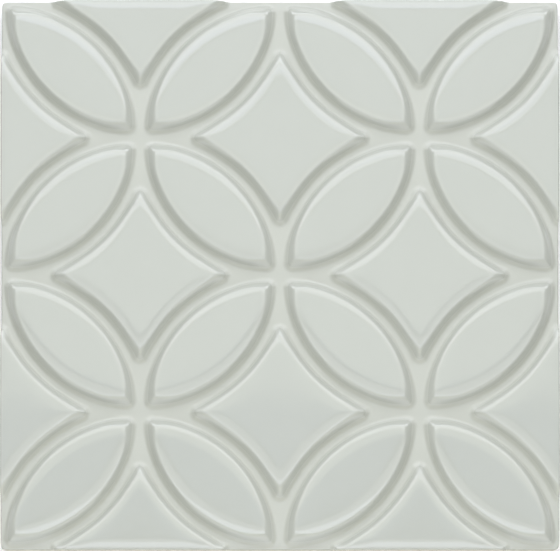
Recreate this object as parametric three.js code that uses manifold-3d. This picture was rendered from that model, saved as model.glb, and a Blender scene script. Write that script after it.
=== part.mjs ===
// Relief glazed wall tile, millimetres, +Z out of the glazed face, back on Z = 0.
// One fired piece: a square slab with a gently cushioned edge, whose face carries the overlapping-circle
// pattern as raised petals and four-pointed diamonds between recessed channels.

import * as THREE from 'three';
import Module from 'manifold-3d';
import { mergeVertices } from 'three/addons/utils/BufferGeometryUtils.js';

// Slab
const tileSide = 148; // a 150 mm module less a 2 mm joint
const slabThickness = 6.2; // back to the channel floor
const cushionRun = 2.5; // gentle fall of the face towards its four edges
const cushionSlope = THREE.MathUtils.degToRad(8); // its slope where it meets the arris
const arrisRadius = 0.35; // tighter round from there to the side
const sideDraft = THREE.MathUtils.degToRad(8); // the sides lean in towards the back
const cornerPower = 5; // how square the corners stay in plan; 2 is a round of edgeRun

// Relief: circles of one radius, each passing through its neighbours' centres
const repeatsPerSide = 2; // whole circles along a side
const reliefHeight = 2.2; // channel floor to the flat of a petal
const floorHalfWidth = 0.75; // flat floor of a channel, each side of its circle
const wallRun = 2.2; // foot of a wall to its crest, seen from above
const domeRun = 3.5; // crest to where the top is flat
const domeDrop = 0.15; // how far the crest lies below the flat

// Keying grooves in the back
const groovePitch = 15;
const grooveWidth = 7; // at the back face
const grooveDepth = 0.8;
const grooveDraft = 0.8; // each side leans in by this much over the depth
const grooveMargin = 6; // solid border left round the grooves

// Facet sizes
const arcStep = THREE.MathUtils.degToRad(8); // longest step along a circle
const domeSteps = 2;
const cushionSteps = 2;
const arrisSteps = 3;
const finestGrid = 1e-6; // points are placed on this grid, and smaller areas are nothing

// Derived sizes
const half = tileSide / 2;
const cellsPerSide = 2 * repeatsPerSide;
const circleRadius = tileSide / cellsPerSide; // also the side of one cell of the pattern
const crest = floorHalfWidth + wallRun;
const edgeRun = cushionRun + arrisRadius * (1 - Math.sin(cushionSlope));
const edgeDrop = (cushionRun * Math.tan(cushionSlope)) / 2 + arrisRadius * Math.cos(cushionSlope);
const grooveCount = Math.floor((tileSide - 2 * grooveMargin - grooveWidth) / groovePitch) + 1;

const glaze = new THREE.MeshStandardMaterial({ color: 0xced4cd, roughness: 0.12, metalness: 0 });

const keep = (value) => Math.round(value / finestGrid) * finestGrid;
const clamp = THREE.MathUtils.clamp;

// How far the top lies below its flat at one distance from a circle
function domeFall(distance) {
  const inward = clamp((distance - crest) / domeRun, 0, 1);
  return domeDrop * (1 - inward) ** 2;
}

// Height of the relief over the channel floor, at a point of the pattern.
// The point is folded into one cell, a petal running from its corner (0, 0) to (radius, radius).
function reliefAt(x, y) {
  const fold = (value) => {
    const along = value + half;
    const column = Math.floor(along / circleRadius);
    const inCell = along - column * circleRadius;
    return column % 2 ? circleRadius - inCell : inCell;
  };
  let u = fold(x);
  let v = fold(y);
  if (v > u) [u, v] = [v, u];
  if (u + v > circleRadius) [u, v] = [circleRadius - v, circleRadius - u];
  const toCircle = (cx, cy) => Math.abs(Math.hypot(u - cx, v - cy) - circleRadius);
  const nearest = toCircle(0, circleRadius);
  const inPetal = Math.hypot(u, v - circleRadius) < circleRadius;
  const second = inPetal ? toCircle(circleRadius, 0) : toCircle(0, -circleRadius);
  const rise = clamp((nearest - floorHalfWidth) / wallRun, 0, 1);
  return rise * (reliefHeight - domeFall(nearest) - domeFall(second));
}

// Angles along a quarter arc's half where a line of the section meets the petal's or the
// diamond's axis, measured round the circle from the node where four petals meet
function petalTip(offset) {
  const inner = circleRadius - offset;
  const reach = (circleRadius - Math.sqrt(2 * inner ** 2 - circleRadius ** 2)) / 2;
  return Math.atan2(reach, circleRadius - reach);
}

function diamondTip(offset) {
  return Math.acos(circleRadius / (circleRadius + offset));
}

// Steps along the arc: each tip has one, and no step is longer than arcStep
function arcAngles() {
  const lines = [floorHalfWidth, crest];
  const tips = [0, ...lines.map(petalTip), ...lines.map(diamondTip), Math.PI / 4];
  tips.sort((one, other) => one - other);
  const angles = [0];
  for (let i = 1; i < tips.length; i++) {
    const span = tips[i] - tips[i - 1];
    const steps = Math.ceil(span / arcStep);
    for (let k = 1; k <= steps; k++) angles.push(tips[i - 1] + (span * k) / steps);
  }
  return angles;
}

// Lines of the section, as offsets from the circle: petal side negative, diamond side positive
function sectionOffsets() {
  const oneSide = [floorHalfWidth];
  for (let k = 0; k <= domeSteps; k++) oneSide.push(crest + (domeRun * k) / domeSteps);
  return [...oneSide.map((offset) => -offset).reverse(), ...oneSide];
}

// Flat quads of the eighth of a petal and diamond that the whole pattern repeats: the triangle
// between a node, the middle of a diamond and the middle of a petal
function patternEighth() {
  const rows = arcAngles().map((angle) => {
    const petalAxis = circleRadius / (Math.cos(angle) + Math.sin(angle));
    const diamondAxis = circleRadius / Math.cos(angle);
    const inside = sectionOffsets().map((o) => clamp(circleRadius + o, petalAxis, diamondAxis));
    const radii = [petalAxis, ...inside, diamondAxis];
    return radii.map((r) => [r * Math.sin(angle), circleRadius - r * Math.cos(angle)]);
  });
  const quads = [];
  for (let i = 1; i < rows.length; i++) {
    for (let j = 1; j < rows[i].length; j++) {
      quads.push([rows[i - 1][j - 1], rows[i - 1][j], rows[i][j], rows[i][j - 1]]);
    }
  }
  return quads;
}

// A polygon with its repeated points left out and turned anticlockwise, or nothing if it has no area
function tidyPolygon(points) {
  const rounded = points.map(([x, y]) => [keep(x), keep(y)]);
  const corners = rounded.filter(([x, y], i) => {
    const [px, py] = rounded[(i + rounded.length - 1) % rounded.length];
    return x !== px || y !== py;
  });
  const area = THREE.ShapeUtils.area(corners.map(([x, y]) => new THREE.Vector2(x, y)));
  if (corners.length < 3 || Math.abs(area) < finestGrid) return [];
  return [area > 0 ? corners : corners.reverse()];
}

// The eighth, mirrored into a cell and the cell mirrored over the whole face
function patternPolygons() {
  const polygons = [];
  const mirrors = [
    (x, y) => [x, y],
    (x, y) => [y, x],
    (x, y) => [circleRadius - y, circleRadius - x],
    (x, y) => [circleRadius - x, circleRadius - y],
  ];
  const place = (inCell, column) =>
    column * circleRadius - half + (column % 2 ? circleRadius - inCell : inCell);
  for (const quad of patternEighth()) {
    for (const mirror of mirrors) {
      const cell = quad.map(([x, y]) => mirror(x, y));
      for (let column = 0; column < cellsPerSide; column++) {
        for (let row = 0; row < cellsPerSide; row++) {
          polygons.push(...tidyPolygon(cell.map(([x, y]) => [place(x, column), place(y, row)])));
        }
      }
    }
  }
  return polygons;
}

// Cuts each flat polygon that a line crosses, so that the line becomes an edge of the mesh
function splitAlong(polygons, axis, at) {
  const crossing = (one, other) => {
    const [from, to] = one[axis] < other[axis] ? [one, other] : [other, one];
    const share = (at - from[axis]) / (to[axis] - from[axis]);
    const point = from.map((value, i) => value + share * (to[i] - value));
    point[axis] = at;
    return point;
  };
  return polygons.flatMap((polygon) => {
    const low = [];
    const high = [];
    polygon.forEach((point, i) => {
      const next = polygon[(i + 1) % polygon.length];
      const side = point[axis] - at;
      if (side <= 0) low.push(point);
      if (side >= 0) high.push(point);
      if (side * (next[axis] - at) < 0) {
        low.push(crossing(point, next));
        high.push(crossing(point, next));
      }
    });
    return [low, high].flatMap((piece) => (piece.length > 2 ? tidyPolygon(piece) : []));
  });
}

// How far the face falls, this far into the cushion and the arris after it
function edgeFall(run) {
  const gentle = Math.min(run, cushionRun);
  const turned = Math.sin(cushionSlope) + (run - gentle) / arrisRadius;
  const round = Math.cos(cushionSlope) - Math.sqrt(Math.max(1 - turned ** 2, 0));
  return (gentle ** 2 * Math.tan(cushionSlope)) / (2 * cushionRun) + arrisRadius * round;
}

// Distances from the side of the lines along which the cushion and the arris turn
function edgeLines() {
  const lines = [];
  for (let k = 0; k < cushionSteps; k++) lines.push(edgeRun - (cushionRun * k) / cushionSteps);
  for (let k = 0; k < arrisSteps; k++) {
    const turned = cushionSlope + ((Math.PI / 2 - cushionSlope) * k) / arrisSteps;
    lines.push(arrisRadius * (1 - Math.sin(turned)));
  }
  return lines;
}

// A point of the flat pattern, with how far it is through the edge across X and Y: from 0 where
// the cushion begins to 1 on a straight side. In a corner the two together stay within 1.
function throughEdge([x, y]) {
  const inset = (value) => clamp(1 - (half - Math.abs(value)) / edgeRun, 0, 1);
  const shares = [inset(x), inset(y)];
  const reach = (shares[0] ** cornerPower + shares[1] ** cornerPower) ** (1 / cornerPower);
  return { shares: shares.map((share) => share / Math.max(reach, 1)), reach: Math.min(reach, 1) };
}

// The same point on the real face, or on the back when it is a point of the outline. The outline
// is widest at the top of a diamond's side, and draws in by the draft below that.
function realPoint(point, onBack = false) {
  const { shares, reach } = throughEdge(point);
  const fall = edgeFall(edgeRun * reach);
  const relief = reliefAt(...point);
  const z = onBack ? 0 : slabThickness + relief - fall;
  const below = onBack ? slabThickness + reliefHeight - edgeDrop : reliefHeight - relief;
  const place = (value, share) => {
    if (share === 0) return keep(value);
    const out = half - edgeRun * (1 - share) - share * below * Math.tan(sideDraft);
    return keep(Math.sign(value) * out);
  };
  return [place(point[0], shares[0]), place(point[1], shares[1]), keep(z)];
}

// The slab with its face, leaning sides and plain back, as one closed mesh
function slabGeometry() {
  let polygons = patternPolygons();
  for (const fromSide of edgeLines()) {
    const line = keep(half - fromSide);
    for (const axis of [0, 1]) {
      for (const at of [-line, line]) polygons = splitAlong(polygons, axis, at);
    }
  }

  const corners = [];
  const triangle = (a, b, c) => corners.push(...a, ...b, ...c);
  const middle = [0, 0, 0];
  const onRim = (axis, a, b) => half - Math.abs(a[axis]) < finestGrid && a[axis] === b[axis];
  for (const polygon of polygons) {
    const face = polygon.map((point) => realPoint(point));
    for (let i = 2; i < face.length; i++) triangle(face[0], face[i - 1], face[i]);
    polygon.forEach((from, i) => {
      const next = (i + 1) % polygon.length;
      const to = polygon[next];
      if (![0, 1].some((axis) => onRim(axis, from, to))) return;
      const [fromBack, toBack] = [realPoint(from, true), realPoint(to, true)];
      triangle(face[i], fromBack, face[next]);
      triangle(face[next], fromBack, toBack);
      triangle(toBack, fromBack, middle);
    });
  }
  const geometry = new THREE.BufferGeometry();
  geometry.setAttribute('position', new THREE.Float32BufferAttribute(corners, 3));
  return geometry;
}

// One keying groove: a long bar with leaning sides, reaching a little out of the back
function grooveGeometry() {
  const length = tileSide - 2 * grooveMargin;
  const slope = grooveDraft / grooveDepth;
  const out = 1; // how far the bar stands out of the back, clear of it
  const section = new THREE.Shape();
  section.moveTo(-grooveWidth / 2 - out * slope, -out);
  section.lineTo(grooveWidth / 2 + out * slope, -out);
  section.lineTo(grooveWidth / 2 - grooveDraft, grooveDepth);
  section.lineTo(-grooveWidth / 2 + grooveDraft, grooveDepth);
  section.closePath();
  const bar = new THREE.ExtrudeGeometry(section, { depth: length, bevelEnabled: false });
  bar.rotateX(Math.PI / 2);
  bar.translate(0, length / 2, 0);
  return bar;
}

const wasm = await Module();
wasm.setup();

function toSolid(geometry) {
  const bare = geometry.index ? geometry.toNonIndexed() : geometry.clone();
  for (const name of Object.keys(bare.attributes)) {
    if (name !== 'position') bare.deleteAttribute(name);
  }
  const merged = mergeVertices(bare, 10 * finestGrid);
  const mesh = new wasm.Mesh({
    numProp: 3,
    vertProperties: new Float32Array(merged.attributes.position.array),
    triVerts: new Uint32Array(merged.index.array),
  });
  return new wasm.Manifold(mesh);
}

function toGeometry(solid) {
  const mesh = solid.getMesh();
  const geometry = new THREE.BufferGeometry();
  geometry.setAttribute('position', new THREE.BufferAttribute(mesh.vertProperties, 3));
  geometry.setIndex(new THREE.BufferAttribute(mesh.triVerts, 1));
  geometry.computeVertexNormals();
  return geometry;
}

let tile = toSolid(slabGeometry());
for (let i = 0; i < grooveCount; i++) {
  const across = (i - (grooveCount - 1) / 2) * groovePitch;
  tile = tile.subtract(toSolid(grooveGeometry().translate(across, 0, 0)));
}

const reliefTile = new THREE.Mesh(toGeometry(tile), glaze);
reliefTile.name = 'relief_tile';

const model = new THREE.Group();
model.add(reliefTile);
export default model;
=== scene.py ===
"""Relief glazed wall tile: the finished look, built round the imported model.

The tile lies on its back on a pale floor, glazed face up, and the camera looks down on it from
the side that is the foot of the photograph. Sizes are in metres.
"""

import math

import bmesh
import bpy
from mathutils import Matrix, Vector


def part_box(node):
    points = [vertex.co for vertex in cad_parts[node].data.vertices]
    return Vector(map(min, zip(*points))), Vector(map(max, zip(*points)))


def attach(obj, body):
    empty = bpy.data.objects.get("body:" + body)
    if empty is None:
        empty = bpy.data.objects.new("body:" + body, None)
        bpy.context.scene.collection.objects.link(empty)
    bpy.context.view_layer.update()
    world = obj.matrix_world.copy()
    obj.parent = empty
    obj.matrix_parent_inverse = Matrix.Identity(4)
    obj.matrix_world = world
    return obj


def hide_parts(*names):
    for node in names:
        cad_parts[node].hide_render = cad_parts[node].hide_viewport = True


MM = 0.001

# Slab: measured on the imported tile, or repeated from its source
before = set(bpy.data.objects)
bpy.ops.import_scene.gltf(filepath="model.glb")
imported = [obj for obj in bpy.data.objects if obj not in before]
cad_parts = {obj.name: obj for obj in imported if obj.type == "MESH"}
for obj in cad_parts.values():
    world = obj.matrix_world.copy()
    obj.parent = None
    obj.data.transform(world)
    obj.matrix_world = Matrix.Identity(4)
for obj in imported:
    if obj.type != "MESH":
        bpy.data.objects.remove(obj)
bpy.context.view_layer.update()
tile_low, tile_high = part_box("relief_tile")
TILE_SIDE = tile_high.x - tile_low.x
TILE_HEIGHT = tile_high.z - tile_low.z
CUSHION_RUN = 2.5 * MM
CUSHION_SLOPE = math.radians(8)
EDGE_ROUND = 0.35 * MM
EDGE_RUN = CUSHION_RUN + EDGE_ROUND * (1 - math.sin(CUSHION_SLOPE))
CORNER_POWER = 5.0
SIDE_DRAFT = math.radians(8)
ARRIS_RADIUS = 0.5 * MM

# Relief. The cove and the round take these shares of the wall's run.
REPEATS_PER_SIDE = 2
RELIEF_HEIGHT = 2.2 * MM
FLOOR_HALF_WIDTH = 0.3 * MM
WALL_RUN = 2.8 * MM
COVE_SHARE = 0.45
ROUND_SHARE = 0.35
DOME_RUN = 3.0 * MM
DOME_DROP = 0.16 * MM
TIP_RIDGE = 0.12
TIP_RUN = 7.5 * MM
TIP_RECESS = 1.3 * MM
SLAB_THICKNESS = TILE_HEIGHT - RELIEF_HEIGHT
HALF = TILE_SIDE / 2
CIRCLE_RADIUS = TILE_SIDE / (2 * REPEATS_PER_SIDE)
CREST = FLOOR_HALF_WIDTH + WALL_RUN

# Finish: how far up the sides the glaze stops, and how smooth glaze and clay are
GLAZE_LINE = 1.0 * MM
GLAZE_LINE_WANDER = 0.25 * MM
GLAZE_ROUGHNESS = 0.07
POOL_ROUGHNESS = 0.25
CLAY_ROUGHNESS = 0.88

# Keying grooves of the back
GROOVE_PITCH = 15 * MM
GROOVE_WIDTH = 7 * MM
GROOVE_DEPTH = 0.8 * MM
GROOVE_DRAFT = 0.8 * MM
GROOVE_MARGIN = 6 * MM
GROOVE_CORNER = 1.6 * MM
GROOVE_COUNT = int((TILE_SIDE - 2 * GROOVE_MARGIN - GROOVE_WIDTH) / GROOVE_PITCH) + 1

# Mesh points this near each other are one point. Faces thinner than a sliver are closed up.
SAME_POINT = 0.002 * MM
SLIVER = 0.01 * MM

# Photograph: its frame in pixels, and how the tile lies in it
PHOTO_WIDTH, PHOTO_HEIGHT = 560, 551
PIXELS_PER_MM = 3.777
PATTERN_MIDDLE = (279.9, 275.3)
CAMERA_TILT = math.radians(10.5)
CAMERA_DISTANCE = 6.0


class Number:
    """A number in a node tree. Arithmetic on it adds the Math nodes that the arithmetic says."""

    def __init__(self, tree, socket):
        self.tree = tree
        self.socket = socket

    def math(self, operation, *others):
        node = self.tree.nodes.new("ShaderNodeMath")
        node.operation = operation
        for slot, value in zip(node.inputs, (self, *others)):
            connect(self.tree, value, slot)
        return Number(self.tree, node.outputs[0])

    def __add__(self, other):
        return self.math("ADD", other)

    def __sub__(self, other):
        return self.math("SUBTRACT", other)

    def __rsub__(self, other):
        return (self * -1.0) + other

    def __mul__(self, other):
        return self.math("MULTIPLY", other)

    def __truediv__(self, other):
        return self.math("DIVIDE", other)

    def __abs__(self):
        return self.math("ABSOLUTE")

    def clamped(self):
        return self.math("MAXIMUM", 0.0).math("MINIMUM", 1.0)


def connect(tree, value, slot):
    """Puts a number, a Number or another node's socket into a node's input."""
    if isinstance(value, Number):
        tree.links.new(value.socket, slot)
    elif isinstance(value, bpy.types.NodeSocket):
        tree.links.new(value, slot)
    else:
        slot.default_value = value


def node_in(tree, kind, settings=(), **inputs):
    """A new node with its settings made and its inputs filled. An input's name has _ for a space."""
    node = tree.nodes.new(kind)
    for name, value in dict(settings).items():
        setattr(node, name, value)
    for name, value in inputs.items():
        connect(tree, value, node.inputs[name.replace("_", " ")])
    return node


def geometry_tree(name, sizes):
    """A geometry node tree with one named input for each size, and its group input and output."""
    tree = bpy.data.node_groups.new(name, "GeometryNodeTree")
    tree.interface.new_socket("Geometry", in_out="OUTPUT", socket_type="NodeSocketGeometry")
    tree.interface.new_socket("Geometry", in_out="INPUT", socket_type="NodeSocketGeometry")
    for label, value in sizes.items():
        kind = "NodeSocketInt" if isinstance(value, int) else "NodeSocketFloat"
        tree.interface.new_socket(label, in_out="INPUT", socket_type=kind)
    given = tree.nodes.new("NodeGroupInput")
    result = tree.nodes.new("NodeGroupOutput")
    return tree, given, result


def run_tree(piece, tree, sizes):
    """Runs a tree on a piece with these sizes, and keeps what comes out as the piece's plain mesh."""
    modifier = piece.modifiers.new(tree.name, "NODES")
    modifier.node_group = tree
    for item in tree.interface.items_tree:
        if item.in_out == "INPUT" and item.name in sizes:
            modifier[item.identifier] = sizes[item.name]
    evaluated = piece.evaluated_get(bpy.context.evaluated_depsgraph_get())
    mesh = bpy.data.meshes.new_from_object(evaluated)
    piece.modifiers.clear()
    piece.data = mesh


# The flat pattern


PETAL_LINE, DIAMOND_LINE = CIRCLE_RADIUS - CREST, CIRCLE_RADIUS + CREST
PETAL_TIP = (CIRCLE_RADIUS - math.sqrt(2 * PETAL_LINE**2 - CIRCLE_RADIUS**2)) / math.sqrt(2)
DIAMOND_TIP = math.sqrt(DIAMOND_LINE**2 - CIRCLE_RADIUS**2)


def petal_angle(reach):
    """Angle round the circle, from the node, of the point this far along the petal's axis."""
    return math.atan2(reach, CIRCLE_RADIUS * math.sqrt(2) - reach)


def diamond_angle(reach):
    """Angle round the circle, from the node, of the point this far along the diamond's axis."""
    return math.atan2(reach, CIRCLE_RADIUS)


def stepped(marks):
    """Evenly stepped values between each mark (value, steps up to it) and the next."""
    values = [marks[0][0]]
    for (start, _), (end, steps) in zip(marks, marks[1:]):
        values += [start + (end - start) * k / steps for k in range(1, steps + 1)]
    return values


def flat_eighth():
    """The part of the pattern that it all repeats: the triangle between a node, the middle of a
    diamond and the middle of a petal, with mesh lines along the circle and across it. They are
    close where the section turns, and wide apart on the flats."""
    steep_dome, wide_step = 1.6 * MM, 2.3 * MM
    angles = stepped(
        [
            (0.0, 0),
            (petal_angle(PETAL_TIP - WALL_RUN), 2),
            (petal_angle(PETAL_TIP), 7),
            (diamond_angle(DIAMOND_TIP - WALL_RUN), 8),
            (diamond_angle(DIAMOND_TIP), 8),
            (math.pi / 4, 10),
        ]
    )
    one_side = stepped(
        [
            (0.0, 0),
            (FLOOR_HALF_WIDTH, 1),
            (CREST - ROUND_SHARE * WALL_RUN, 7),
            (CREST, 4),
            (CREST + steep_dome, 6),
            (CREST + DOME_RUN, 3),
        ]
    )
    further = [one_side[-1] + wide_step, one_side[-1] + 2 * wide_step]
    offsets = [-offset for offset in reversed(one_side)] + one_side[1:] + further
    bm = bmesh.new()
    rows = []
    for angle in angles:
        petal_axis = CIRCLE_RADIUS / (math.cos(angle) + math.sin(angle))
        diamond_axis = CIRCLE_RADIUS / math.cos(angle)
        inside = [min(max(CIRCLE_RADIUS + o, petal_axis), diamond_axis) for o in offsets]
        radii = [petal_axis, *inside, diamond_axis]
        places = [(r * math.sin(angle), CIRCLE_RADIUS - r * math.cos(angle), 0) for r in radii]
        rows.append([bm.verts.new(place) for place in places])
    for low, high in zip(rows, rows[1:]):
        for k in range(len(low) - 1):
            bm.faces.new((low[k], low[k + 1], high[k + 1], high[k]))
    bmesh.ops.remove_doubles(bm, verts=bm.verts, dist=SAME_POINT)
    mesh = bpy.data.meshes.new("relief_tile_face")
    bm.to_mesh(mesh)
    bm.free()
    piece = bpy.data.objects.new("relief_tile_face", mesh)
    bpy.context.collection.objects.link(piece)
    return piece


def repeat_tree(sizes):
    """Mirrors the eighth into a cell, the cell into one repeat, and sets the repeats side by side."""
    tree, given, result = geometry_tree("Repeat the pattern", sizes)
    radius = Number(tree, given.outputs["Circle Radius"])
    repeats = given.outputs["Repeats"]

    def vector(x, y):
        return node_in(tree, "ShaderNodeCombineXYZ", X=x, Y=y).outputs[0]

    def with_mirror(geometry, turn, scale, shift):
        mirrored = node_in(
            tree,
            "GeometryNodeTransform",
            Geometry=geometry,
            Translation=shift,
            Rotation=(0.0, 0.0, turn),
            Scale=scale,
        )
        joined = tree.nodes.new("GeometryNodeJoinGeometry")
        tree.links.new(geometry, joined.inputs[0])
        tree.links.new(mirrored.outputs[0], joined.inputs[0])
        return joined.outputs[0]

    quarter = math.pi / 2
    flipped_x, flipped_y = (-1.0, 1.0, 1.0), (1.0, -1.0, 1.0)
    cell = with_mirror(given.outputs["Geometry"], quarter, flipped_y, vector(0.0, 0.0))
    cell = with_mirror(cell, -quarter, flipped_y, vector(radius, radius))
    pair = with_mirror(cell, 0.0, flipped_x, vector(radius * 2.0, 0.0))
    repeat = with_mirror(pair, 0.0, flipped_y, vector(0.0, radius * 2.0))
    centred = node_in(
        tree,
        "GeometryNodeTransform",
        Geometry=repeat,
        Translation=vector(radius * -1.0, radius * -1.0),
    )
    span = (Number(tree, repeats) - 1.0) * radius * 2.0
    places = node_in(
        tree, "GeometryNodeMeshGrid", Size_X=span, Size_Y=span, Vertices_X=repeats, Vertices_Y=repeats
    )
    copies = node_in(
        tree, "GeometryNodeInstanceOnPoints", Points=places.outputs[0], Instance=centred.outputs[0]
    )
    real = node_in(tree, "GeometryNodeRealizeInstances", Geometry=copies.outputs[0])
    merged = node_in(tree, "GeometryNodeMergeByDistance", Geometry=real.outputs[0], Distance=SAME_POINT)
    tree.links.new(merged.outputs[0], result.inputs[0])
    return tree


def line_the_edges(piece):
    """Cuts the flat pattern along lines beside its four sides, where the cushion and the round
    after it will turn, and turns every face up. One more line just inside them keeps the cushion's
    shading off the flats."""
    cushion_steps, round_steps, guard = 6, 5, 0.15 * MM
    lines = [HALF - EDGE_RUN + CUSHION_RUN * k / cushion_steps for k in range(cushion_steps)]
    lines.append(HALF - EDGE_RUN - guard)
    for k in range(round_steps):
        turned = CUSHION_SLOPE + (math.pi / 2 - CUSHION_SLOPE) * k / round_steps
        lines.append(HALF - EDGE_ROUND * (1 - math.sin(turned)))
    bm = bmesh.new()
    bm.from_mesh(piece.data)
    for line in lines:
        for side in (Vector((1, 0, 0)), Vector((-1, 0, 0)), Vector((0, 1, 0)), Vector((0, -1, 0))):
            everything = bm.verts[:] + bm.edges[:] + bm.faces[:]
            bmesh.ops.bisect_plane(
                bm, geom=everything, dist=SAME_POINT / 2, plane_co=side * line, plane_no=side
            )
    for face in bm.faces:
        face.normal_update()
        if face.normal.z < 0:
            face.normal_flip()
    bm.to_mesh(piece.data)
    bm.free()


def relief_tree(sizes, finish):
    """Raises the flat pattern: channels, walls, domed tops, the edges' cushion and round, and the
    sides' draft."""
    tree, given, result = geometry_tree("Press the relief", sizes)
    size = {label: Number(tree, given.outputs[label]) for label in sizes}
    half, radius = size["Tile Side"] / 2.0, size["Circle Radius"]
    place = node_in(tree, "GeometryNodeInputPosition")
    parts = node_in(tree, "ShaderNodeSeparateXYZ", Vector=place.outputs[0])
    x, y = Number(tree, parts.outputs["X"]), Number(tree, parts.outputs["Y"])

    def distance(u, v):
        return (u * u + v * v).math("SQRT")

    # Folded into the eighth between a node, a diamond's middle and a petal's middle
    u, v = (x + half).math("PINGPONG", radius), (y + half).math("PINGPONG", radius)
    more, less = u.math("MAXIMUM", v), u.math("MINIMUM", v)
    beyond = (more + less - radius).math("MAXIMUM", 0.0)
    u, v = more - beyond, less - beyond

    # Distance to the circle in between, and to the one that bounds the same petal or diamond
    to_middle = distance(u, v - radius)
    in_petal = to_middle.math("LESS_THAN", radius)
    other_of_petal = radius - distance(u - radius, v)
    other_of_diamond = distance(u, v + radius) - radius
    other = other_of_petal * in_petal + other_of_diamond * (1.0 - in_petal)
    nearest = abs(to_middle - radius)

    # How far outside the crest line: it ends in a point at each tip, and past that the wall goes
    # round the point, with a ridge that fades towards its foot. The ridge's curve peaks at 4 / 27.
    crest = size["Floor Half Width"] + size["Wall Run"]
    petal_line, diamond_line = radius - crest, radius + crest
    past_petal = (radius * to_middle).math("GREATER_THAN", petal_line * (u - v + radius))
    past_diamond = (radius - v) * diamond_line
    past_diamond = past_diamond.math("GREATER_THAN", radius * to_middle)
    petal_tip = (radius - (petal_line * petal_line * 2.0 - radius * radius).math("SQRT")) / 2.0
    diamond_tip = (diamond_line * diamond_line - radius * radius).math("SQRT")
    past_tip = past_petal * in_petal + past_diamond * (1.0 - in_petal)
    from_tip = (
        distance(u - petal_tip, v - petal_tip) * in_petal
        + distance(u - diamond_tip, v) * (1.0 - in_petal)
    )
    beside = ((u - v) * petal_line * in_petal + v * diamond_line * (1.0 - in_petal)) / radius
    aside = (beside / from_tip.math("MAXIMUM", SAME_POINT)).clamped()
    fading = (1.0 - from_tip / size["Wall Run"]).clamped()
    ridge = aside * (1.0 - aside) * (1.0 - aside) * (27 / 4)
    pinched = ridge * fading * size["Tip Ridge"] + 1.0
    outside = from_tip * pinched * past_tip + (crest - nearest) * (1.0 - past_tip)

    # Near a tip the wall starts further in and is less steep, down to the same foot
    near_tip = (1.0 - from_tip / size["Tip Run"]).clamped()
    recess = near_tip * near_tip * size["Tip Recess"]
    outside = (outside + recess) * size["Wall Run"] / (size["Wall Run"] + recess)

    # Section: a cove, a straight wall, a tight round over the crest, then a flattening dome
    up_wall = (1.0 - outside / size["Wall Run"]).clamped()
    cove, tight = size["Cove Share"], size["Round Share"]
    in_cove = up_wall.math("MINIMUM", cove)
    in_round = (up_wall - 1.0 + tight).math("MAXIMUM", 0.0)
    climbed = in_cove * in_cove / cove / 2.0 + up_wall - in_cove - in_round * in_round / tight / 2.0
    rise = climbed / (1.0 - (cove + tight) / 2.0)

    def dome_fall(away):
        inward = 1.0 - ((away - crest) / size["Dome Run"]).clamped()
        return inward * inward * size["Dome Drop"]

    relief = rise * (size["Relief Height"] - dome_fall(nearest) - dome_fall(other))

    # Edge: how far through its cushion and round the point is, across each pair of sides
    slope_run, slope, edge_round = size["Cushion Run"], size["Cushion Slope"], size["Edge Round"]
    edge_run = slope_run + edge_round * (1.0 - slope.math("SINE"))

    def share(value):
        return (1.0 - (half - abs(value)) / edge_run).clamped()

    power = size["Corner Power"]
    across, along = share(x), share(y)
    reach = across.math("POWER", power) + along.math("POWER", power)
    reach = reach.math("POWER", power.math("POWER", -1.0))
    held = reach.math("MAXIMUM", 1.0)
    across, along = across / held, along / held
    turned = reach.math("MINIMUM", 1.0)
    gentle = (turned * edge_run).math("MINIMUM", slope_run)
    over = slope.math("SINE") + (turned * edge_run - gentle) / edge_round
    level = (1.0 - over * over).math("MAXIMUM", 0.0).math("SQRT")
    fall = gentle * gentle * slope.math("TANGENT") / slope_run / 2.0
    fall = fall + edge_round * (slope.math("COSINE") - level)
    drawn_in = (size["Relief Height"] - relief) * size["Side Draft"].math("TANGENT")
    nearly_none = 0.00001

    def moved(value, inset):
        out = half - (1.0 - inset) * edge_run - inset * drawn_in
        inside = inset.math("LESS_THAN", nearly_none)
        return value * inside + value.math("SIGN") * out * (1.0 - inside)

    height = size["Slab Thickness"] + relief - fall
    target = node_in(
        tree, "ShaderNodeCombineXYZ", X=moved(x, across), Y=moved(y, along), Z=height
    )
    outward = node_in(
        tree, "ShaderNodeCombineXYZ", X=x.math("SIGN") * across, Y=y.math("SIGN") * along
    )
    geometry = given.outputs["Geometry"]
    for name, kind, value in (
        ("outside_crest", "FLOAT", outside),
        ("through_round", "FLOAT", turned),
        ("outward", "FLOAT_VECTOR", outward.outputs[0]),
    ):
        stored = node_in(
            tree,
            "GeometryNodeStoreNamedAttribute",
            settings={"data_type": kind, "domain": "POINT"},
            Geometry=geometry,
            Name=name,
            Value=value,
        )
        geometry = stored.outputs[0]
    raised = node_in(tree, "GeometryNodeSetPosition", Geometry=geometry, Position=target.outputs[0])
    real = node_in(tree, "GeometryNodeRealizeInstances", Geometry=raised.outputs[0])
    finished = node_in(tree, "GeometryNodeSetMaterial", Geometry=real.outputs[0], Material=finish)
    tree.links.new(finished.outputs[0], result.inputs[0])
    return tree


# Sides and back


def extend_ring(bm, ring, drop_to):
    """Extrudes the open edge once, each new point put where drop_to says."""
    made = bmesh.ops.extrude_edge_only(bm, edges=ring)["geom"]
    for vert in (item for item in made if isinstance(item, bmesh.types.BMVert)):
        vert.co = drop_to(vert)
    return [item for item in made if isinstance(item, bmesh.types.BMEdge) and item.is_boundary]


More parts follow.
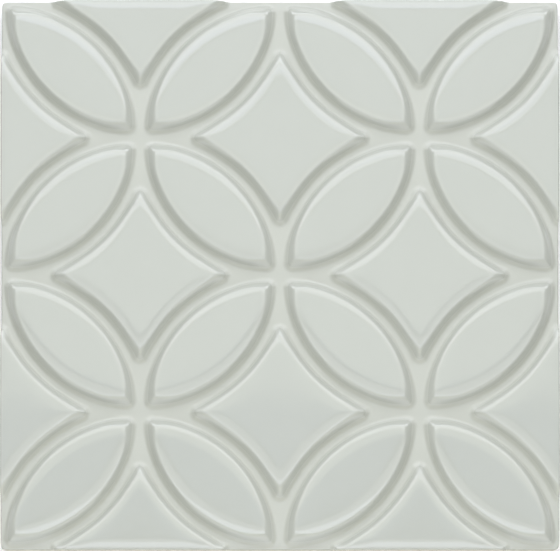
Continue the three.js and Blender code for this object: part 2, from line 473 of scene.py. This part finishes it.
def rounded_rectangle(width, length, corner, steps=5):
    """Points round a rectangle with round corners, about the origin."""
    points = []
    for quadrant in range(4):
        turn = quadrant * math.pi / 2
        sign_x = 1 if quadrant in (0, 3) else -1
        sign_y = 1 if quadrant in (0, 1) else -1
        middle = Vector((sign_x * (width / 2 - corner), sign_y * (length / 2 - corner)))
        for k in range(steps):
            angle = turn + math.pi / 2 * k / (steps - 1)
            points.append(middle + corner * Vector((math.cos(angle), math.sin(angle))))
    return points


def cut_groove(bm, across):
    """One keying groove sunk into the back. Returns the edges of its mouth."""
    soften = 0.25 * MM
    profile = [
        (0.0, 0.0),
        (soften * 0.3, soften * 0.08),
        (soften * 0.7, soften * 0.4),
        (soften, soften * 0.8),
        (GROOVE_DRAFT, GROOVE_DEPTH - soften * 0.3),
        (GROOVE_DRAFT + soften, GROOVE_DEPTH),
    ]
    length = TILE_SIDE - 2 * GROOVE_MARGIN
    loops = []
    for inset, depth in profile:
        outline = rounded_rectangle(
            GROOVE_WIDTH - 2 * inset, length - 2 * inset, GROOVE_CORNER - inset * 0.8
        )
        loops.append([bm.verts.new((p.x + across, p.y, depth)) for p in outline])
    for low, high in zip(loops, loops[1:]):
        for k in range(len(low)):
            after = (k + 1) % len(low)
            bm.faces.new((low[k], high[k], high[after], low[after]))
    bm.faces.new(reversed(loops[-1]))
    return [bm.edges.get((a, b)) for a, b in zip(loops[0], loops[0][1:] + loops[0][:1])]


def close_slab(piece, clay_index):
    """Sides drawn in towards the back, a soft arris, and the bare back with its grooves."""
    bm = bmesh.new()
    bm.from_mesh(piece.data)
    # Past the round corners the flat pattern is folded into the outline, and its faces have no area
    through, nearly_all = bm.verts.layers.float["through_round"], 0.99999
    folded = [face for face in bm.faces if all(vert[through] > nearly_all for vert in face.verts)]
    bmesh.ops.delete(bm, geom=folded, context="FACES")
    bmesh.ops.remove_doubles(bm, verts=bm.verts, dist=SLIVER)
    outward = bm.verts.layers.float_vector["outward"]
    side_steps = 6
    ring = [edge for edge in bm.edges if edge.is_boundary]

    def down_side(left):
        def place(vert):
            low = ARRIS_RADIUS + (vert.co.z - ARRIS_RADIUS) * (left - 1) / left
            inward = (vert.co.z - low) * math.tan(SIDE_DRAFT)
            flat = vert.co - vert[outward] * inward
            return Vector((flat.x, flat.y, low))

        return place

    for left in range(side_steps, 0, -1):
        ring = extend_ring(bm, ring, down_side(left))

    def round_arris(turned, before):
        step_in = ARRIS_RADIUS * (math.cos(before) - math.cos(turned))

        def place(vert):
            flat = vert.co - vert[outward] * step_in
            return Vector((flat.x, flat.y, ARRIS_RADIUS * (1 - math.sin(turned))))

        return place

    arris_steps = 4
    for k in range(arris_steps):
        before, turned = (math.pi / 2 * n / arris_steps for n in (k, k + 1))
        ring = extend_ring(bm, ring, round_arris(turned, before))

    before_back = set(bm.faces)
    mouths = []
    for k in range(GROOVE_COUNT):
        mouths += cut_groove(bm, (k - (GROOVE_COUNT - 1) / 2) * GROOVE_PITCH)
    bmesh.ops.triangle_fill(bm, use_beauty=True, edges=ring + mouths, normal=(0, 0, -1))
    for face in bm.faces:
        face.smooth = True
        if face not in before_back:
            face.material_index = clay_index
            face.smooth = abs(face.normal.z) < 0.999
    bmesh.ops.recalc_face_normals(bm, faces=bm.faces)
    if bm.calc_volume(signed=True) < 0:
        bmesh.ops.reverse_faces(bm, faces=bm.faces)
    bm.to_mesh(piece.data)
    bm.free()


# Finishes


def new_material(name):
    """An empty node material, with its tree and its surface shader."""
    material = bpy.data.materials.new(name)
    material.use_nodes = True
    tree = material.node_tree
    shader = tree.nodes["Principled BSDF"]
    return material, tree, shader


def fired_unevenness():
    """A shader group for what firing leaves on glaze and clay alike: clouds of tone, from -1 to 1,
    and fine ripples of height, from 0 to 1. Its sizes are in metres."""
    tree = bpy.data.node_groups.new("fired_unevenness", "ShaderNodeTree")
    for label in ("Cloud Size", "Ripple Size"):
        tree.interface.new_socket(label, in_out="INPUT", socket_type="NodeSocketFloat")
    for label in ("Clouds", "Ripples"):
        tree.interface.new_socket(label, in_out="OUTPUT", socket_type="NodeSocketFloat")
    given, result = tree.nodes.new("NodeGroupInput"), tree.nodes.new("NodeGroupOutput")
    place = tree.nodes.new("ShaderNodeTexCoord").outputs["Object"]

    def noise(size, detail):
        per_metre = Number(tree, given.outputs[size]).math("POWER", -1.0)
        made = node_in(tree, "ShaderNodeTexNoise", Vector=place, Scale=per_metre, Detail=detail)
        return Number(tree, made.outputs[0])

    connect(tree, (noise("Cloud Size", 3.0) - 0.5) * 3.0, result.inputs["Clouds"])
    connect(tree, noise("Ripple Size", 1.0), result.inputs["Ripples"])
    return tree


def unevenness_in(tree, group, cloud_size, ripple_size):
    """The clouds and the ripples, in one material, at its own sizes."""
    placed = node_in(tree, "ShaderNodeGroup", settings={"node_tree": group})
    placed.inputs["Cloud Size"].default_value = cloud_size
    placed.inputs["Ripple Size"].default_value = ripple_size
    return Number(tree, placed.outputs["Clouds"]), Number(tree, placed.outputs["Ripples"])


def attribute_in(tree, name):
    read = node_in(tree, "ShaderNodeAttribute", settings={"attribute_name": name})
    return Number(tree, read.outputs["Fac"])


def mixed(tree, share, one, other):
    """A colour between two, by a share."""
    mix = node_in(tree, "ShaderNodeMix", settings={"data_type": "RGBA"})
    for slot, value in ((0, share), (6, one), (7, other)):
        connect(tree, value, mix.inputs[slot])
    return mix.outputs[2]


def toned(tree, colour, factor):
    """A colour made lighter or darker by a factor."""
    scaled = node_in(tree, "ShaderNodeVectorMath", settings={"operation": "SCALE"})
    connect(tree, colour, scaled.inputs[0])
    connect(tree, factor, scaled.inputs["Scale"])
    return scaled.outputs[0]


# Glaze on the flats, lighter over the crests, where it is thinner and where a highlight is painted in,
# and pooled in the channels, and where each of these is reached, by how far outside the crest line, in
# mm
GLAZE_FLAT = (0.405, 0.418, 0.378)
# Crest colour: lighter partly for the thinner glaze and partly as a painted highlight
GLAZE_THIN_AND_HIGHLIGHT = (0.422, 0.434, 0.391)
GLAZE_POOLED = (0.407, 0.417, 0.370)
GLAZE_ACROSS = [(-1.0, GLAZE_FLAT), (-0.2, GLAZE_THIN_AND_HIGHLIGHT), (0.4, GLAZE_THIN_AND_HIGHLIGHT), (2.2, GLAZE_POOLED)]
CLAY_COLOUR = (0.60, 0.49, 0.37)


def glaze_material(unevenness):
    """Gloss grey-green glaze, lighter on the crests, where it thins and where a highlight is painted
    in, and pooled in the channels, where it is a little less smooth. Low on the sides it stops at an
    uneven line, and the clay under it shows."""
    material, tree, shader = new_material("grey_green_glaze")
    clouds, ripples = unevenness_in(tree, unevenness, 9 * MM, 2.2 * MM)
    faint, line_blur = 0.012, 0.25 * MM
    pool_edge, pool_slope = 0.6, 1.2
    # The ramp makes the crests lighter, partly for thinner glaze and partly as a painted highlight
    ramp = node_in(tree, "ShaderNodeValToRGB")
    first, last = GLAZE_ACROSS[0][0], GLAZE_ACROSS[-1][0]
    outside = attribute_in(tree, "outside_crest") / MM
    connect(tree, (outside - first) / (last - first), ramp.inputs[0])
    stops = ramp.color_ramp.elements
    while len(stops) < len(GLAZE_ACROSS):
        stops.new(1.0)
    for stop, (distance, colour) in zip(stops, GLAZE_ACROSS):
        stop.position = (distance - first) / (last - first)
        stop.color = (*colour, 1.0)
    glaze = toned(tree, ramp.outputs["Color"], clouds * faint + 1.0)

    place = node_in(tree, "ShaderNodeTexCoord").outputs["Object"]
    height = Number(tree, node_in(tree, "ShaderNodeSeparateXYZ", Vector=place).outputs["Z"])
    line = clouds * GLAZE_LINE_WANDER + GLAZE_LINE
    covered = ((height - line) / line_blur).clamped()
    connect(tree, mixed(tree, covered, (*CLAY_COLOUR, 1.0), glaze), shader.inputs["Base Color"])
    pooled = ((outside - pool_edge) / pool_slope).clamped()
    gloss = clouds * faint + pooled * POOL_ROUGHNESS + GLAZE_ROUGHNESS
    connect(tree, gloss * covered + (1.0 - covered) * CLAY_ROUGHNESS, shader.inputs["Roughness"])
    bump = node_in(tree, "ShaderNodeBump", Height=ripples, Distance=0.010 * MM)
    connect(tree, bump.outputs[0], shader.inputs["Normal"])
    shader.inputs["IOR"].default_value = 1.6
    return material


def bare_clay_material(unevenness):
    """The unglazed back: dry buff clay with fine pores and a faint pressed grain."""
    material, tree, shader = new_material("bare_fired_clay")
    clouds, ripples = unevenness_in(tree, unevenness, 14 * MM, 0.45 * MM)
    grain = (ripples - 0.5) * 0.16
    connect(tree, toned(tree, CLAY_COLOUR, clouds * 0.05 + grain + 1.0), shader.inputs["Base Color"])
    connect(tree, clouds * 0.03 + CLAY_ROUGHNESS, shader.inputs["Roughness"])
    bump = node_in(tree, "ShaderNodeBump", Height=ripples, Distance=0.12 * MM)
    connect(tree, bump.outputs[0], shader.inputs["Normal"])
    return material


# The tile


def make_tile():
    """The whole tile as one closed mesh, in place of the plain solid."""
    piece = flat_eighth()
    repeats = {"Circle Radius": CIRCLE_RADIUS, "Repeats": REPEATS_PER_SIDE}
    run_tree(piece, repeat_tree(repeats), repeats)
    line_the_edges(piece)
    unevenness = fired_unevenness()
    glaze = glaze_material(unevenness)
    sizes = {
        "Tile Side": TILE_SIDE,
        "Slab Thickness": SLAB_THICKNESS,
        "Cushion Run": CUSHION_RUN,
        "Cushion Slope": CUSHION_SLOPE,
        "Edge Round": EDGE_ROUND,
        "Corner Power": CORNER_POWER,
        "Side Draft": SIDE_DRAFT,
        "Circle Radius": CIRCLE_RADIUS,
        "Relief Height": RELIEF_HEIGHT,
        "Floor Half Width": FLOOR_HALF_WIDTH,
        "Wall Run": WALL_RUN,
        "Dome Run": DOME_RUN,
        "Dome Drop": DOME_DROP,
        "Cove Share": COVE_SHARE,
        "Round Share": ROUND_SHARE,
        "Tip Ridge": TIP_RIDGE,
        "Tip Run": TIP_RUN,
        "Tip Recess": TIP_RECESS,
    }
    run_tree(piece, relief_tree(sizes, glaze), sizes)
    piece.data.materials.append(bare_clay_material(unevenness))
    close_slab(piece, clay_index=1)
    piece.name = "glazed_relief_tile"
    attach(piece, "root")
    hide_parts("relief_tile")


# Studio


def make_floor():
    """A plain pale floor under the tile."""
    reach = 3.0
    bm = bmesh.new()
    bmesh.ops.create_grid(bm, x_segments=1, y_segments=1, size=reach)
    mesh = bpy.data.meshes.new("floor")
    bm.to_mesh(mesh)
    bm.free()
    floor = bpy.data.objects.new("floor", mesh)
    floor.location.z = tile_low.z
    bpy.context.collection.objects.link(floor)
    material, _, shader = new_material("pale_floor")
    shader.inputs["Base Color"].default_value = (0.9, 0.9, 0.9, 1.0)
    shader.inputs["Roughness"].default_value = 0.9
    mesh.materials.append(material)


# Tints of the panels, from daylight to lamplight
SKY = (0.85, 0.95, 1.20)
COOL = (0.93, 0.97, 1.10)
PLAIN = (0.98, 0.99, 1.03)
CREAM = (1.04, 1.02, 0.94)
WARM = (1.09, 1.08, 0.83)

# Soft panels that face the tile's middle. In degrees, as seen from there: from the zenith, turned
# from the head of the photograph towards its right side, width, depth. Then metres away, how
# bright, and tint.
PANELS = {
    "overhead_strip": (2.2, 0, 60, 6.5, 1.2, 1.45, PLAIN),
    "overhead_strip_foot": (4.5, 180, 60, 7, 1.2, 1.2, COOL),
    "overhead_edge": (11.2, 0, 60, 9.5, 1.2, 0.88, SKY),
    "overhead_bank": (20, 0, 60, 6, 1.2, 2.4, COOL),
    "overhead_bank_far": (27, 0, 70, 8, 1.2, 2.3, PLAIN),
    "head_window_top": (40, 0, 90, 14, 1.2, 1.8, CREAM),
    "head_window": (56, 0, 100, 18, 1.2, 2.75, PLAIN),
    "close_head_card": (14, 0, 60, 16, 0.45, 0.95, WARM),
    "close_head_mid": (30, 0, 70, 14, 0.45, 1.25, COOL),
    "close_head_low": (60, 0, 90, 24, 0.45, 1.6, COOL),
    "close_foot_card": (12, 180, 60, 14, 0.45, 1.95, COOL),
    "close_foot_mid": (38, 180, 80, 18, 0.45, 1.55, WARM),
    "close_foot_low": (62, 180, 90, 22, 0.45, 2.05, PLAIN),
    "close_foot_floor": (80, 180, 90, 16, 0.45, 1.28, COOL),
}


def soft_panel(name, from_zenith, turned, width, depth, away, brightness, tint):
    """A rectangular soft light that faces the tile's middle."""
    light = bpy.data.lights.new(name, "AREA")
    light.shape = "RECTANGLE"
    light.size = 2 * away * math.tan(math.radians(width / 2))
    light.size_y = 2 * away * math.tan(math.radians(depth / 2))
    light.energy = math.pi * light.size * light.size_y * brightness
    light.color = tint
    lamp = bpy.data.objects.new(name, light)
    lamp.rotation_euler = (-math.radians(from_zenith), 0.0, -math.radians(turned))
    lamp.location = lamp.rotation_euler.to_matrix() @ Vector((0.0, 0.0, away))
    lamp.visible_camera = False
    bpy.context.collection.objects.link(lamp)


def light_the_tile():
    """Soft panels overhead and beyond the tile's head, cards close by at its head and foot, and a
    faint even sky."""
    world = bpy.data.worlds.new("studio")
    world.use_nodes = True
    background = world.node_tree.nodes["Background"]
    background.inputs["Color"].default_value = (1.0, 1.0, 1.0, 1.0)
    background.inputs["Strength"].default_value = 0.02
    bpy.context.scene.world = world
    for name, values in PANELS.items():
        soft_panel(name, *values)


def place_camera():
    """A long lens, tilted from the foot of the tile, framed as the photograph is."""
    data = bpy.data.cameras.new("camera")
    data.sensor_width = 36.0
    data.lens = PIXELS_PER_MM / MM * CAMERA_DISTANCE / PHOTO_WIDTH * data.sensor_width
    data.clip_end = 100.0
    camera = bpy.data.objects.new("camera", data)
    bpy.context.collection.objects.link(camera)
    towards = Vector((0.0, -math.sin(CAMERA_TILT), math.cos(CAMERA_TILT)))
    up = Vector((0.0, math.cos(CAMERA_TILT), math.sin(CAMERA_TILT)))
    right = Vector((1.0, 0.0, 0.0))
    pixel = MM / PIXELS_PER_MM
    off_x = PHOTO_WIDTH / 2 - PATTERN_MIDDLE[0]
    off_y = PATTERN_MIDDLE[1] - PHOTO_HEIGHT / 2
    aim = Vector((0.0, 0.0, tile_low.z + SLAB_THICKNESS)) + right * off_x * pixel + up * off_y * pixel
    camera.location = aim + towards * CAMERA_DISTANCE
    camera.rotation_euler = towards.to_track_quat("Z", "Y").to_euler()
    bpy.context.scene.camera = camera


make_tile()
make_floor()
light_the_tile()
place_camera()
bpy.context.scene.view_settings.view_transform = "Standard"
